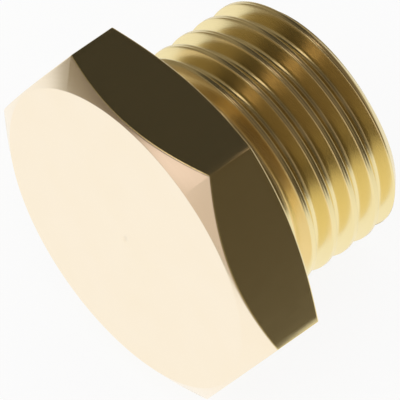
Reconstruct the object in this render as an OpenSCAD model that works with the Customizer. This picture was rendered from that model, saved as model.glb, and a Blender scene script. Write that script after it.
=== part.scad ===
// A hexagon head plug for a pipe thread, turned in one piece from hexagon bar.
// It lies as it comes to rest, on the back edge of one flat and on its thread.
// X runs along it towards the thread, Y across its corners, and Z up.
// The origin is on the ground, under the middle of its box.

/* [Head] */
// Width of the hexagon across its flats
head_af = 17; // [16.8:0.1:19]
// Height of the head, from its face to its seat
head_h = 4.15; // [3.6:0.05:6]
// Diameter of the flat, round face
face_d = 16.65; // [15.8:0.05:16.7]
// Slope of the bevel around the face
face_bevel_angle = 32; // [15:1:40]
// Diameter of the flat, round seat under the head
seat_d = 16.4; // [15:0.1:16.7]
// Slope of the bevel around the seat
seat_bevel_angle = 20; // [10:1:35]

/* [Shank] */
// Length of the shank, from the seat to its end
shank_l = 7.85; // [6:0.05:10]
// Diameter of the plain neck beside the seat
neck_d = 11.2; // [10.8:0.1:11.3]
// Length of the plain neck
neck_l = 0.9; // [0.8:0.05:1.4]
// Width of the bevel around the shank's end
end_bevel = 0.5; // [0.3:0.05:0.7]

/* [Thread] */
// Diameter over the crests of the thread
thread_d = 12.92; // [12.8:0.01:13.15]
// Turns of the thread in one inch
turns_per_inch = 19; // [18:1:20]
// Depth of the thread, from crest to root
thread_depth = 0.76; // [0.7:0.01:0.8]
// Width of the flat on a crest
crest_w = 0.26; // [0.14:0.01:0.28]
// Angle between the two flanks of one groove
flank_angle = 55; // [50:1:56]
// Angle around the axis, from the ground, at which the crest leaves the neck
start_angle = 285; // [0:1:359]
// Steps that the thread takes in one turn
steps_per_turn = 60; // [36:6:72]

/* [Hidden] */

brass = [0.88, 0.72, 0.42];
inch = 25.4;
// How far a cutting shape runs past what it cuts
past = 1;

flat_r = head_af / 2;
corner_r = flat_r / cos(30);
face_r = face_d / 2;
seat_r = seat_d / 2;
total_l = head_h + shank_l;
// Where the two bevels meet the corners of the hexagon, measured from the face
front_corner_h = (corner_r - face_r) * tan(face_bevel_angle);
back_corner_h = head_h - (corner_r - seat_r) * tan(seat_bevel_angle);
// Back edge of a flat, in the middle between two corners
flat_back_h = head_h - (flat_r - seat_r) * tan(seat_bevel_angle);

neck_r = neck_d / 2;
neck_end = head_h + neck_l;
crest_r = thread_d / 2;
root_r = crest_r - thread_depth;
end_r = crest_r - end_bevel;

pitch = inch / turns_per_inch;
flank_slope = tan(flank_angle / 2);
// The ridge is swept a little higher than its crest, and its foot is sunk in the core
tip_r = crest_r + 0.4 * crest_w / (2 * flank_slope);
foot_r = crest_r - (0.96 * pitch - crest_w) / (2 * flank_slope);
// The ridge starts one turn before the neck's end, and runs past the shank's end
ridge_steps = ceil((total_l - neck_end) / pitch + 2.2) * steps_per_turn;

// Width of the ridge at a radius
function ridge_w(r) = crest_w + 2 * (crest_r - r) * flank_slope;

// Height of the ridge's middle, at an angle around the axis
function ridge_h(a) = neck_end + pitch * (a - start_angle) / 360;

// Distance from a height to the nearest ridge, at an angle around the axis
function ridge_gap(a, h) =
    let (turns = (h - ridge_h(a)) / pitch)
    abs(turns - round(turns)) * pitch;

// Radius of the threaded shank, at an angle and a height
function shank_r(a, h) =
    let (bevelled = crest_r - max(0, h - (total_l - end_bevel)))
    let (ridge = crest_r - max(0, ridge_gap(a, h) - crest_w / 2) / flank_slope)
    min(bevelled, max(root_r, ridge));

// Slope at which the plug rests: the first part of the thread to reach the ground stops it
rest_angle = min([
    for (a = [-20:4:20], h = [total_l - 2 * pitch:0.01:total_l])
        atan2(flat_r - shank_r(a, h) * cos(a), h - flat_back_h)
]);

// Reach of the plug along the ground, on each side of the middle of its face
reach_back = face_r * sin(rest_angle);
reach_front = max([
    for (a = [120:4:240], h = [total_l - pitch:0.02:total_l])
        h * cos(rest_angle) - shank_r(a, h) * cos(a) * sin(rest_angle)
]);
middle = (reach_front - reach_back) / 2;
face_height = flat_r * cos(rest_angle) + flat_back_h * sin(rest_angle);

// The head: a hexagon bar, turned to a flat face, a flat seat and a bevel around each
module head() {
    intersection() {
        rotate([0, 0, 30])
            translate([0, 0, -past])
                cylinder(r = corner_r, h = head_h + 2 * past, $fn = 6);
        rotate_extrude($fn = 180)
            polygon([
                [0, 0],
                [face_r, 0],
                [corner_r, front_corner_h],
                [corner_r + past, front_corner_h],
                [corner_r + past, back_corner_h],
                [corner_r, back_corner_h],
                [seat_r, head_h],
                [0, head_h]
            ]);
    }
}

// One section of the ridge, turned around the axis and lifted to its place
function ridge_section(a) = [
    for (p = [[foot_r, -1], [tip_r, -1], [tip_r, 1], [foot_r, 1]])
        [p[0] * cos(a), p[0] * sin(a), ridge_h(a) + p[1] * ridge_w(p[0]) / 2]
];

// The ridge of the thread, swept along a right-hand helix
module ridge() {
    first = start_angle - 360;
    sections = [
        for (i = [0:ridge_steps])
            ridge_section(first + 360 * i / steps_per_turn)
    ];
    points = [for (s = sections) each s];
    sides = [
        for (i = [0:ridge_steps - 1], k = [0:3])
            let (a = 4 * i + k, b = 4 * i + (k + 1) % 4)
                each [[a, b, b + 4], [a, b + 4, a + 4]]
    ];
    last = 4 * ridge_steps;
    ends = [[3, 2, 1, 0], [last, last + 1, last + 2, last + 3]];
    polyhedron(points, concat(sides, ends));
}

// What the turning tool leaves of the shank: the neck, the crests and the bevelled end
module turned_shank() {
    rotate_extrude($fn = 180)
        polygon([
            [0, head_h - past],
            [neck_r, head_h - past],
            [neck_r, neck_end],
            [crest_r, neck_end + (crest_r - neck_r)],
            [crest_r, total_l - end_bevel],
            [end_r, total_l],
            [0, total_l]
        ]);
}

// The shank: a core and the thread's ridge, inside the turned shape
module shank() {
    intersection() {
        turned_shank();
        union() {
            translate([0, 0, head_h - 2 * past])
                cylinder(r = root_r, h = shank_l + 4 * past, $fn = 180);
            ridge();
        }
    }
}

// The plug stands on its face here, with one flat towards -X
module upright_plug() {
    head();
    shank();
}

module plug() {
    color(brass)
        translate([-middle, 0, face_height])
            rotate([0, 90 + rest_angle, 0])
                upright_plug();
}

plug();
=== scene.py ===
"""A brass hexagon head pipe plug, lying on a white table in a small studio.

The shape repeats part.scad's named sizes and adds what turning leaves: rounded edges,
a rounded root in the thread and the tool's pip in the middle of the face.
"""
import math

import bpy
import numpy as np
from mathutils import Matrix, Vector


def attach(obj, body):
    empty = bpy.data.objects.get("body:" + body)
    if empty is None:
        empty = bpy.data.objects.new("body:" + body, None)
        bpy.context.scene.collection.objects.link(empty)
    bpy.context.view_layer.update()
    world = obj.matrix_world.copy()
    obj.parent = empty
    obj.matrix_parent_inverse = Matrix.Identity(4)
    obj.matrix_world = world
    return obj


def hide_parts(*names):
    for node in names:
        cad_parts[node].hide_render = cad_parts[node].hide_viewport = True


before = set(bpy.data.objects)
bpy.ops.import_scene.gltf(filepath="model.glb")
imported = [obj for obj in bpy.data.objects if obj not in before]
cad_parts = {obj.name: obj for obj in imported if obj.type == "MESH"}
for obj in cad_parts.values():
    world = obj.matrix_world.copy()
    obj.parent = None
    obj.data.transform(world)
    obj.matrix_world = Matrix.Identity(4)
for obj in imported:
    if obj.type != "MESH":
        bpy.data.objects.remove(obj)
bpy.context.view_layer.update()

# ---------------------------------------------------------------- sizes, in millimetres

MM = 0.001
HEAD_AF = 17.0
HEAD_H = 4.15
FACE_D = 16.65
FACE_BEVEL = math.radians(32)
SEAT_D = 16.4
SEAT_BEVEL = math.radians(20)
SHANK_L = 7.85
NECK_D = 11.2
NECK_L = 0.9
END_BEVEL = 0.5
THREAD_D = 12.92
PITCH = 25.4 / 19
THREAD_DEPTH = 0.76
CREST_W = 0.26
FLANK_SLOPE = math.tan(math.radians(55 / 2))
START_ANGLE = 285.0

FLAT_R = HEAD_AF / 2
FACE_R = FACE_D / 2
SEAT_R = SEAT_D / 2
NECK_R = NECK_D / 2
NECK_END = HEAD_H + NECK_L
TOTAL_L = HEAD_H + SHANK_L
CREST_R = THREAD_D / 2
ROOT_R = CREST_R - THREAD_DEPTH
FLAT_BACK_H = HEAD_H - (FLAT_R - SEAT_R) * math.tan(SEAT_BEVEL)

# Roundings that the tool and handling leave
CORNER_ROUND = 0.04
FRONT_EDGE_ROUND = 0.15
FACE_EDGE_ROUND = 0.05
BACK_EDGE_ROUND = 0.12
SEAT_EDGE_ROUND = 0.1
NECK_ROUND = 0.15
CREST_ROUND = 0.07
ROOT_ROUND = 0.225
# Rolling leaves a fine seam along the middle of the crest
SEAM_W = 0.1
SEAM_DEPTH = 0.04


# ---------------------------------------------------------------- how it lies

def sharp_radius(angle, height):
    """Radius of the threaded shank with sharp edges, as the source has it."""
    turns = (height - NECK_END - PITCH * (angle - START_ANGLE) / 360) / PITCH
    gap = abs(turns - math.floor(turns + 0.5)) * PITCH
    bevelled = CREST_R - max(0.0, height - (TOTAL_L - END_BEVEL))
    ridge = CREST_R - max(0.0, gap - CREST_W / 2) / FLANK_SLOPE
    return min(bevelled, max(ROOT_R, ridge))


def spread(start, stop, step):
    """Numbers from start to stop, both included, a step apart."""
    return [start + step * i for i in range(int(round((stop - start) / step)) + 1)]


def resting_place():
    """Slope of the axis, and where the middle of the face is over the ground."""
    slope = min(
        math.atan2(FLAT_R - sharp_radius(a, h) * math.cos(math.radians(a)), h - FLAT_BACK_H)
        for a in spread(-20, 20, 4)
        for h in spread(TOTAL_L - 2 * PITCH, TOTAL_L, 0.01)
    )
    reach_back = FACE_R * math.sin(slope)
    reach_front = max(
        h * math.cos(slope) - sharp_radius(a, h) * math.cos(math.radians(a)) * math.sin(slope)
        for a in spread(120, 240, 4)
        for h in spread(TOTAL_L - PITCH, TOTAL_L, 0.02)
    )
    height = FLAT_R * math.cos(slope) + FLAT_BACK_H * math.sin(slope)
    return slope, Vector((-(reach_front - reach_back) / 2, 0, height))


SLOPE, FACE_MIDDLE = resting_place()
AXIS = Vector((math.cos(SLOPE), 0, -math.sin(SLOPE)))
DOWN = Vector((-math.sin(SLOPE), 0, -math.cos(SLOPE)))
SIDE = Vector((0, 1, 0))
# The plug's own frame: X square to the flat it lies on, Z from the face to the thread's end
PLUG_FRAME = Matrix.Translation(FACE_MIDDLE * MM) @ Matrix((DOWN, SIDE, AXIS)).transposed().to_4x4()


# ---------------------------------------------------------------- camera

CAMERA_RIGHT = Vector((0.716551, -0.666235, -0.206605))
CAMERA_UP = Vector((0.673257, 0.583114, 0.454645))
CAMERA_BACK = Vector((-0.182426, -0.464875, 0.866379))
CAMERA_AIM = Vector((-1.569657, -1.302414, 9.400498))
FRAME_WIDTH = 19.0216
LENS = 1000.0
SENSOR = 36.0


def set_up_camera():
    data = bpy.data.cameras.new("long_lens")
    data.lens = LENS
    data.sensor_width = SENSOR
    data.clip_start, data.clip_end = 0.01, 20
    camera = bpy.data.objects.new("camera", data)
    bpy.context.scene.collection.objects.link(camera)
    camera.matrix_world = Matrix((CAMERA_RIGHT, CAMERA_UP, CAMERA_BACK)).transposed().to_4x4()
    distance = FRAME_WIDTH * LENS / SENSOR
    camera.location = (CAMERA_AIM + CAMERA_BACK * distance) * MM
    bpy.context.scene.camera = camera


# ---------------------------------------------------------------- the plug's mesh

def rounded(corners, steps=4):
    """A line through (radius, height, rounding) corners, each rounding cut into steps."""
    line = [corners[0][:2]]
    for before, (r, h, rounding), after in zip(corners, corners[1:], corners[2:]):
        here = np.array((r, h))
        back = np.array(before[:2]) - here
        on = np.array(after[:2]) - here
        back, on = back / np.linalg.norm(back), on / np.linalg.norm(on)
        half_turn = (math.pi - math.acos(np.clip(back @ on, -1, 1))) / 2
        start = here + back * rounding * math.tan(half_turn)
        middle = here + (back + on) / np.linalg.norm(back + on) * rounding / math.cos(half_turn)
        stop = here + on * rounding * math.tan(half_turn)
        arm_a, arm_b = start - middle, stop - middle
        for i in range(steps + 1):
            t = i / steps
            bend = math.sin(2 * half_turn)
            arm = (math.sin((1 - t) * 2 * half_turn) * arm_a + math.sin(t * 2 * half_turn) * arm_b) / bend
            line.append(tuple(middle + arm))
    line.append(corners[-1][:2])
    return line


def between(line, longest):
    """The same line, its long stretches cut so that none is over the given length."""
    out = [line[0]]
    for a, b in zip(line, line[1:]):
        parts = max(1, math.ceil(math.dist(a, b) / longest))
        out += [tuple(np.array(a) + (np.array(b) - a) * i / parts) for i in range(1, parts + 1)]
    return out


def columns():
    """Angles around the axis and the bar's radius there, close together at the rounded corners."""
    corner_mid = (FLAT_R - CORNER_ROUND) / math.cos(math.radians(30))
    out = []
    for k in range(6):
        corner = math.radians(60 * k + 30)
        for turn in (-30, -15, 0, 15):
            t = math.radians(turn)
            x = corner_mid + CORNER_ROUND * math.cos(t)
            y = CORNER_ROUND * math.sin(t)
            out.append((corner + math.atan2(y, x), math.hypot(x, y)))
        x = corner_mid + CORNER_ROUND * math.cos(math.radians(30))
        y = CORNER_ROUND * math.sin(math.radians(30))
        off = math.atan2(y, x)
        flat = corner + math.radians(30)
        pieces = 34
        for i in range(pieces):
            a = corner + off + (math.radians(60) - 2 * off) * i / pieces
            out.append((a, FLAT_R / math.cos(a - flat)))
    return sorted((a % (2 * math.pi), r) for a, r in out)


def head_line(bar_r):
    """(radius, height) points of the head from the face's edge to the neck's end, for one column."""
    corners = [
        (FACE_R - 0.4, 0, 0),
        (FACE_R, 0, FACE_EDGE_ROUND),
        (bar_r, (bar_r - FACE_R) * math.tan(FACE_BEVEL), FRONT_EDGE_ROUND),
        (bar_r, HEAD_H - (bar_r - SEAT_R) * math.tan(SEAT_BEVEL), BACK_EDGE_ROUND),
        (SEAT_R, HEAD_H, SEAT_EDGE_ROUND),
        (NECK_R, HEAD_H, NECK_ROUND),
        (NECK_R, NECK_END, 0),
    ]
    return rounded(corners)


def thread_form():
    """(offset from the crest's middle, depth) over one pitch, with rounded crest edges and roots."""
    half = PITCH / 2
    foot = CREST_W / 2 + THREAD_DEPTH * FLANK_SLOPE
    corners = [
        (0, SEAM_DEPTH, 0),
        (SEAM_W / 2, 0, 0.05),
        (CREST_W / 2, 0, CREST_ROUND),
        (foot, THREAD_DEPTH, ROOT_ROUND),
        (half, THREAD_DEPTH, 0),
    ]
    side = between(rounded(corners, 5), 0.13)
    return [(-g, d) for g, d in reversed(side)][:-1] + side[:-1]


FACED, DRAWN, THREAD = 0, 1, 2


def build_plug():
    form = thread_form()
    form_g = np.array([g for g, _ in form] + [PITCH / 2])
    form_d = np.array([d for _, d in form] + [form[0][1]])
    per_turn = len(form)
    turns = math.ceil((TOTAL_L - NECK_END) / PITCH + 0.85 + 0.75)
    rows = [(k * PITCH + g, k) for k in range(turns + 1) for g, _ in form]

    def thread_radius(offset):
        g = (offset + PITCH / 2) % PITCH - PITCH / 2
        return CREST_R - np.interp(g, form_g, form_d)

    def lower(a, b, soft=0.03):
        """The lower of two radii, with the edge between them slightly rounded."""
        d = max(soft - abs(a - b), 0) / soft
        return min(a, b) - d * d * soft / 4

    verts, head_rows, face_rings = [], None, []
    cols = columns()
    count = len(cols)
    grid = []
    rings = [0.12, 0.2, 0.3, 0.42, 0.6, 1.0, 2.0, 3.2, 4.4, 5.6, 6.8, 7.5]
    for angle, bar_r in cols:
        line = [(r, face_height(r)) for r in rings] + head_line(bar_r)
        start = NECK_END + PITCH * (math.degrees(angle) - START_ANGLE) / 360
        thread = []
        for u, _ in rows:
            h = min(max(start + u - 0.75 * PITCH, NECK_END), TOTAL_L)
            r = thread_radius(h - start)
            r = lower(r, NECK_R + (h - NECK_END) * 1.0) if h > NECK_END else NECK_R
            r = lower(r, CREST_R - (h - (TOTAL_L - END_BEVEL)))
            thread.append((r, h))
        end = thread[-1][0]
        cap = [(end - 0.15, TOTAL_L), (4.5, TOTAL_L), (3.0, TOTAL_L), (1.5, TOTAL_L), (0.5, TOTAL_L)]
        line_all = (line, thread, cap)
        grid.append(line_all)
    n_line, n_thread, n_cap = (len(part) for part in grid[0])
    n = n_line + n_thread + n_cap
    points = np.zeros((count, n, 3))
    for i, ((angle, _), parts) in enumerate(zip(cols, grid)):
        rh = np.array(parts[0] + parts[1] + parts[2])
        points[i, :, 0] = rh[:, 0] * math.cos(angle)
        points[i, :, 1] = rh[:, 0] * math.sin(angle)
        points[i, :, 2] = rh[:, 1]
    coords = points.reshape(-1, 3).tolist()
    face_tip, end_tip = len(coords), len(coords) + 1
    coords += [[0, 0, face_height(0)], [0, 0, TOTAL_L]]
    faces, finishes = [], []
    # Rows of the head that are flat bar: from the middle of the front edge to the back edge
    bar_rows = range(len(rings) + 1 + 5 + 2, len(rings) + 1 + 5 + 5 + 2)
    for i in range(count):
        j = (i + 1) % count
        shift = per_turn if j == 0 else 0
        a, b = i * n, j * n
        faces.append((face_tip, a, b))
        finishes.append(FACED)
        for k in range(n_line - 1):
            faces.append((a + k, a + k + 1, b + k + 1, b + k))
            finishes.append(DRAWN if k in bar_rows else FACED)
        first = n_line
        faces.append((a + first - 1, a + first, b + first + shift, b + first - 1))
        finishes.append(THREAD)
        for k in range(n_thread - 1 - shift):
            faces.append((a + first + k, a + first + k + 1, b + first + k + 1 + shift, b + first + k + shift))
            finishes.append(THREAD)
        last = n_line + n_thread - 1
        faces.append((a + last - shift, a + last + 1, b + last + 1, b + last))
        finishes.append(THREAD)
        for k in range(n_line + n_thread, n - 1):
            faces.append((a + k, a + k + 1, b + k + 1, b + k))
            finishes.append(FACED)
        faces.append((end_tip, b + n - 1, a + n - 1))
        finishes.append(FACED)
    import bmesh
    mesh = bpy.data.meshes.new("plug")
    mesh.from_pydata([[c * MM for c in v] for v in coords], [], faces)
    mesh.polygons.foreach_set("material_index", finishes)
    mesh.transform(PLUG_FRAME)
    work = bmesh.new()
    work.from_mesh(mesh)
    bmesh.ops.remove_doubles(work, verts=work.verts, dist=2e-7)
    bmesh.ops.dissolve_degenerate(work, dist=1e-8, edges=work.edges)
    bmesh.ops.recalc_face_normals(work, faces=work.faces)
    for face in work.faces:
        face.smooth = True
    work.to_mesh(mesh)
    work.free()
    plug = bpy.data.objects.new("brass_plug", mesh)
    bpy.context.scene.collection.objects.link(plug)
    soft = plug.modifiers.new("flat_sides_stay_flat", "WEIGHTED_NORMAL")
    soft.mode = "FACE_AREA"
    soft.weight = 50
    soft.keep_sharp = True
    return plug


PIP_R = 0.2
PIP_DEPTH = 0.06


def face_height(r):
    """Depth of the face below its edge: flat, with the small pip in the middle."""
    return PIP_DEPTH * max(0.0, 1 - (r / PIP_R) ** 2)


# ---------------------------------------------------------------- shader maths

class Amount:
    """One value in a node tree. Arithmetic on it adds Math nodes."""

    def __init__(self, look, socket):
        self.look, self.socket = look, socket

    def math(self, operation, *others, clamp=False):
        return self.look.math(operation, self, *others, clamp=clamp)

    def __add__(self, other):
        return self.math("ADD", other)

    __radd__ = __add__

    def __mul__(self, other):
        return self.math("MULTIPLY", other)

    __rmul__ = __mul__

    def __sub__(self, other):
        return self.math("SUBTRACT", other)

    def __rsub__(self, other):
        return self.look.math("SUBTRACT", other, self)

    def __truediv__(self, other):
        return self.math("DIVIDE", other)

    def __pow__(self, other):
        return self.math("POWER", other)

    def __abs__(self):
        return self.math("ABSOLUTE")


class Look:
    """A material or world as it is written."""

    def __init__(self, owner):
        owner.use_nodes = True
        self.owner, self.tree = owner, owner.node_tree
        self.tree.nodes.clear()

    def node(self, kind, settings=None, values=None, out=0):
        """Any node: its type, then its settings, then values or links of its sockets."""
        made = self.tree.nodes.new(kind)
        for name, value in (settings or {}).items():
            setattr(made, name, value)
        for name, value in (values or {}).items():
            socket = made.inputs[name]
            if isinstance(value, Amount):
                self.tree.links.new(value.socket, socket)
            else:
                socket.default_value = value
        return Amount(self, made.outputs[out]) if made.outputs else made

    def math(self, operation, *values, clamp=False):
        settings = {"operation": operation, "use_clamp": clamp}
        return self.node("ShaderNodeMath", settings, dict(enumerate(values)))

    def mix(self, factor, a, b):
        """Colour a where the factor is 0, colour b where it is 1."""
        values = {0: factor, 6: a, 7: b}
        return self.node("ShaderNodeMix", {"data_type": "RGBA", "clamp_factor": True}, values, out=2)

    def step(self, value, low, high):
        """0 below low, 1 above high, smooth between."""
        values = {"Value": value, "From Min": low, "From Max": high}
        return self.node("ShaderNodeMapRange", {"interpolation_type": "SMOOTHSTEP"}, values)

    def seen_by_gloss(self):
        """1 for camera, glossy and transmission rays, and 0 for light on its way to a matt surface."""
        rays = self.tree.nodes.new("ShaderNodeLightPath").outputs
        total = Amount(self, rays["Is Camera Ray"]) + Amount(self, rays["Is Glossy Ray"])
        return (total + Amount(self, rays["Is Transmission Ray"])).math("MINIMUM", 1.0)


BRASS = (0.91, 0.778, 0.423, 1)
# Paler than BRASS, as a painted highlight on the face, the bevels and the plug's other turned faces
PALE_BRASS_PAINTED_HIGHLIGHT = (0.98, 0.865, 0.69, 1)


class Brass(Look):
    """A brass finish, with the plug's own coordinates in millimetres."""

    def __init__(self, name):
        super().__init__(bpy.data.materials.new(name))
        place = self.node("ShaderNodeTexCoord", out=3)
        self.place = self.node("ShaderNodeVectorMath", {"operation": "SUBTRACT"}, {0: place, 1: FACE_MIDDLE * MM})
        self.x, self.y, self.h = (self.along(way) for way in (DOWN, SIDE, AXIS))
        self.r = (self.x * self.x + self.y * self.y) ** 0.5

    def along(self, way):
        """How far along a direction, in millimetres."""
        dot = self.node("ShaderNodeVectorMath", {"operation": "DOT_PRODUCT"}, {0: self.place, 1: way}, out=1)
        return dot / MM

    def grain(self, value, scale, detail=2.0, roughness=0.5):
        """Noise along one number, from about 0 to 1."""
        values = {"W": value, "Scale": scale, "Detail": detail, "Roughness": roughness}
        return self.node("ShaderNodeTexNoise", {"noise_dimensions": "1D"}, values)

    def clouds(self, x, y, z, scale, detail=2.0, roughness=0.5):
        """Noise in three directions, which may be stretched by scaling them."""
        way = self.node("ShaderNodeCombineXYZ", {}, {0: x, 1: y, 2: z})
        values = {"Vector": way, "Scale": scale, "Detail": detail, "Roughness": roughness}
        return self.node("ShaderNodeTexNoise", {"noise_dimensions": "3D"}, values)

    def finish(self, colour, roughness, height, depth):
        """The shader, with a height from 0 to 1 that is depth millimetres deep."""
        bump = self.node("ShaderNodeBump", {}, {"Strength": 1.0, "Distance": depth * MM, "Height": height})
        shader = self.node(
            "ShaderNodeBsdfPrincipled",
            {},
            {"Base Color": colour, "Metallic": 1.0, "Roughness": roughness, "Normal": bump},
        )
        self.node("ShaderNodeOutputMaterial", {}, {"Surface": shader})
        return self.owner


def faced_brass_painted_highlight():
    """The face and the bevels: turned, with fine rings around the axis, in a brass paler than BRASS, which is a
    painted highlight.
    """
    look = Brass("faced_brass_painted_highlight")
    rings = look.grain(look.r, 7.0, detail=3.0, roughness=0.6)
    cloud = look.clouds(look.x, look.y, look.h, 0.35, detail=2.0)
    # Both colours are paler than BRASS, a painted highlight, varied in random clouds
    colour = look.mix(cloud, PALE_BRASS_PAINTED_HIGHLIGHT, (0.965, 0.84, 0.64, 1))
    return look.finish(colour, 0.2 + rings * 0.06, rings, 0.0012)


def drawn_brass():
    """The flats: drawn bar, with fine lines along the axis."""
    look = Brass("drawn_brass")
    lines = look.clouds(look.x, look.y, look.h * 0.06, 9.0, detail=4.0, roughness=0.65)
    colour = look.mix(lines, BRASS, (0.87, 0.73, 0.39, 1))
    return look.finish(colour, 0.14 + lines * 0.1, lines, 0.002)


def thread_brass():
    """The thread and the neck: cut, smooth, with faint lines around the axis."""
    look = Brass("thread_brass")
    turn = look.math("ARCTAN2", look.y, look.x) * (PITCH / (2 * math.pi))
    lines = look.clouds(look.r, look.h - turn, look.x * 0.04, 7.0, detail=2.0, roughness=0.5)
    colour = look.mix(lines, BRASS, (0.89, 0.75, 0.40, 1))
    return look.finish(colour, 0.2 + lines * 0.06, lines, 0.0004)


# ---------------------------------------------------------------- studio

def only_in_reflections(obj):
    obj.visible_camera = False
    obj.visible_diffuse = False
    obj.visible_transmission = False
    obj.visible_volume_scatter = False
    obj.visible_shadow = False


def towards(azimuth, elevation):
    """Unit direction: azimuth from +X towards +Y, elevation above the horizon, in degrees."""
    a, e = math.radians(azimuth), math.radians(elevation)
    return Vector((math.cos(a) * math.cos(e), math.sin(a) * math.cos(e), math.sin(e)))


def staged(name, verts, faces):
    mesh = bpy.data.meshes.new(name)
    mesh.from_pydata(verts, [], faces)
    obj = bpy.data.objects.new(name, mesh)
    bpy.context.scene.collection.objects.link(obj)
    return obj


# Middle of a painted pool of light on the table, which only reflections see, on the face's side of the plug
LIT_MIDDLE = (-60 * MM, 0, 0)


def white_table():
    size = 3.0
    table = staged("table", [(-size, -size, 0), (size, -size, 0), (size, size, 0), (-size, size, 0)], [(0, 1, 2, 3)])
    look = Look(bpy.data.materials.new("white_table"))
    matt = look.node("ShaderNodeBsdfDiffuse", {}, {"Color": (0.9, 0.9, 0.9, 1)})
    # The brass sees a painted pool of light on the table, which falls off to HORIZON, painted shade, towards the
    # room
    place = look.node("ShaderNodeTexCoord", out=3)
    off = look.node("ShaderNodeVectorMath", {"operation": "DISTANCE"}, {0: place, 1: LIT_MIDDLE}, out=1) / MM
    rays = look.tree.nodes.new("ShaderNodeLightPath").outputs
    in_brass = Amount(look, rays["Is Glossy Ray"])
    painted_table_light = look.mix(look.step(off, 60.0, 115.0) * in_brass, (1, 1, 1, 1), HORIZON)
    glow = look.node("ShaderNodeEmission", {}, {"Color": painted_table_light, "Strength": 1.0})
    share = look.seen_by_gloss() * (0.88 + in_brass * 0.12)
    both = look.node("ShaderNodeMixShader", {}, {0: share, 1: matt, 2: glow})
    look.node("ShaderNodeOutputMaterial", {}, {"Surface": both})
    look.owner.cycles.emission_sampling = "NONE"
    table.data.materials.append(look.owner)


def white_room():
    world = bpy.data.worlds.new("white_room")
    bpy.context.scene.world = world
    look = Look(world)
    strength = 0.9 + look.seen_by_gloss() * 0.1
    glow = look.node("ShaderNodeBackground", {}, {"Color": (1, 1, 1, 1), "Strength": strength})
    look.node("ShaderNodeOutputWorld", {}, {"Surface": glow})


ROOM = (0.17, 0.135, 0.10, 1)
# What stands around the table, as the brass sees it: name, azimuth, elevation, the radius
# inside which it is full, the radius at which it has faded out, and its colour
AROUND = [
    ("ceiling", 0, 90, 15, 45, (0.13, 0.105, 0.065, 1)),
    ("side wall", 95, 25, 20, 50, (0.24, 0.205, 0.15, 1)),
    ("pale wall", -160, 15, 25, 50, (0.66, 0.56, 0.48, 1)),
    ("strip light", 75, 70, 3, 9, (1.5, 1.3, 1.1, 1)),
    ("strip light", 110, 75, 3, 9, (1.5, 1.3, 1.1, 1)),
    ("strip light", 142, 66, 3, 9, (1.5, 1.3, 1.1, 1)),
    ("window", 168, 23, 6, 16, (1.0, 0.85, 0.78, 1)),
    ("black card above", 45, 39, 12, 26, (0.045, 0.042, 0.036, 1)),
    ("dark corner", -50, 65, 10, 30, (0.08, 0.065, 0.05, 1)),
    ("lamp", 17, 35, 3, 7, (1.3, 1.0, 0.85, 1)),
]
# What reflections see of the table past the painted pool of light, as painted shade, and of the tent near the
# horizon
HORIZON = (0.32, 0.275, 0.20, 1)


def tent():
    """The soft room round the table, which only reflections see."""
    rings, around = 24, 48
    verts, faces = [], []
    for i in range(rings + 1):
        for j in range(around):
            d = towards(360 * j / around, -90 + 180 * i / rings)
            verts.append(tuple(d * 1.0))
    for i in range(rings):
        for j in range(around):
            k = (j + 1) % around
            faces.append((i * around + j, i * around + k, (i + 1) * around + k, (i + 1) * around + j))
    room = staged("tent", verts, faces)
    only_in_reflections(room)
    look = Look(bpy.data.materials.new("tent"))
    place = look.node("ShaderNodeTexCoord", out=3)
    way = look.node("ShaderNodeVectorMath", {"operation": "NORMALIZE"}, {0: place})
    height = look.node("ShaderNodeSeparateXYZ", {}, {0: way}, out=2)
    colour = look.mix(look.step(height, 0.02, 0.3), HORIZON, ROOM)
    for _, azimuth, elevation, full, faded, patch in AROUND:
        cosine = look.node("ShaderNodeVectorMath", {"operation": "DOT_PRODUCT"}, {0: way, 1: towards(azimuth, elevation)}, out=1)
        off = cosine.math("ARCCOSINE") * (180 / math.pi)
        colour = look.mix(1 - look.step(off, full, faded), colour, patch)
    glow = look.node("ShaderNodeEmission", {}, {"Color": colour, "Strength": 1.0})
    look.node("ShaderNodeOutputMaterial", {}, {"Surface": glow})
    look.owner.cycles.emission_sampling = "NONE"
    room.data.materials.append(look.owner)


def card(name, azimuth, distance, width, low, high, colour):
    """An upright card near the plug, which only reflections see, with its back to the room."""
    out, across = towards(azimuth, 0), towards(azimuth + 90, 0)
    corners = [(-width / 2, low), (width / 2, low), (width / 2, high), (-width / 2, high)]
    verts = [tuple((out * distance + across * x + Vector((0, 0, z))) * MM) for x, z in corners]
    made = staged(name, verts, [(0, 1, 2, 3)])
    only_in_reflections(made)
    look = Look(bpy.data.materials.new(name))
    glow = look.node("ShaderNodeEmission", {}, {"Color": colour, "Strength": 1.0})
    look.node("ShaderNodeOutputMaterial", {}, {"Surface": glow})
    look.owner.cycles.emission_sampling = "NONE"
    made.data.materials.append(look.owner)


set_up_camera()
plug = build_plug()
for finish in (faced_brass_painted_highlight(), drawn_brass(), thread_brass()):
    plug.data.materials.append(finish)
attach(plug, "root")
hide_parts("plug")
white_table()
white_room()
tent()
# A dark card which only reflections see, put where the brass should reflect the plug's shadow on the table: painted
# shadow
card("painted_shadow_card", -66, 45, 30, 0, 40, (0.085, 0.068, 0.045, 1))
bpy.context.scene.view_settings.view_transform = "Standard"
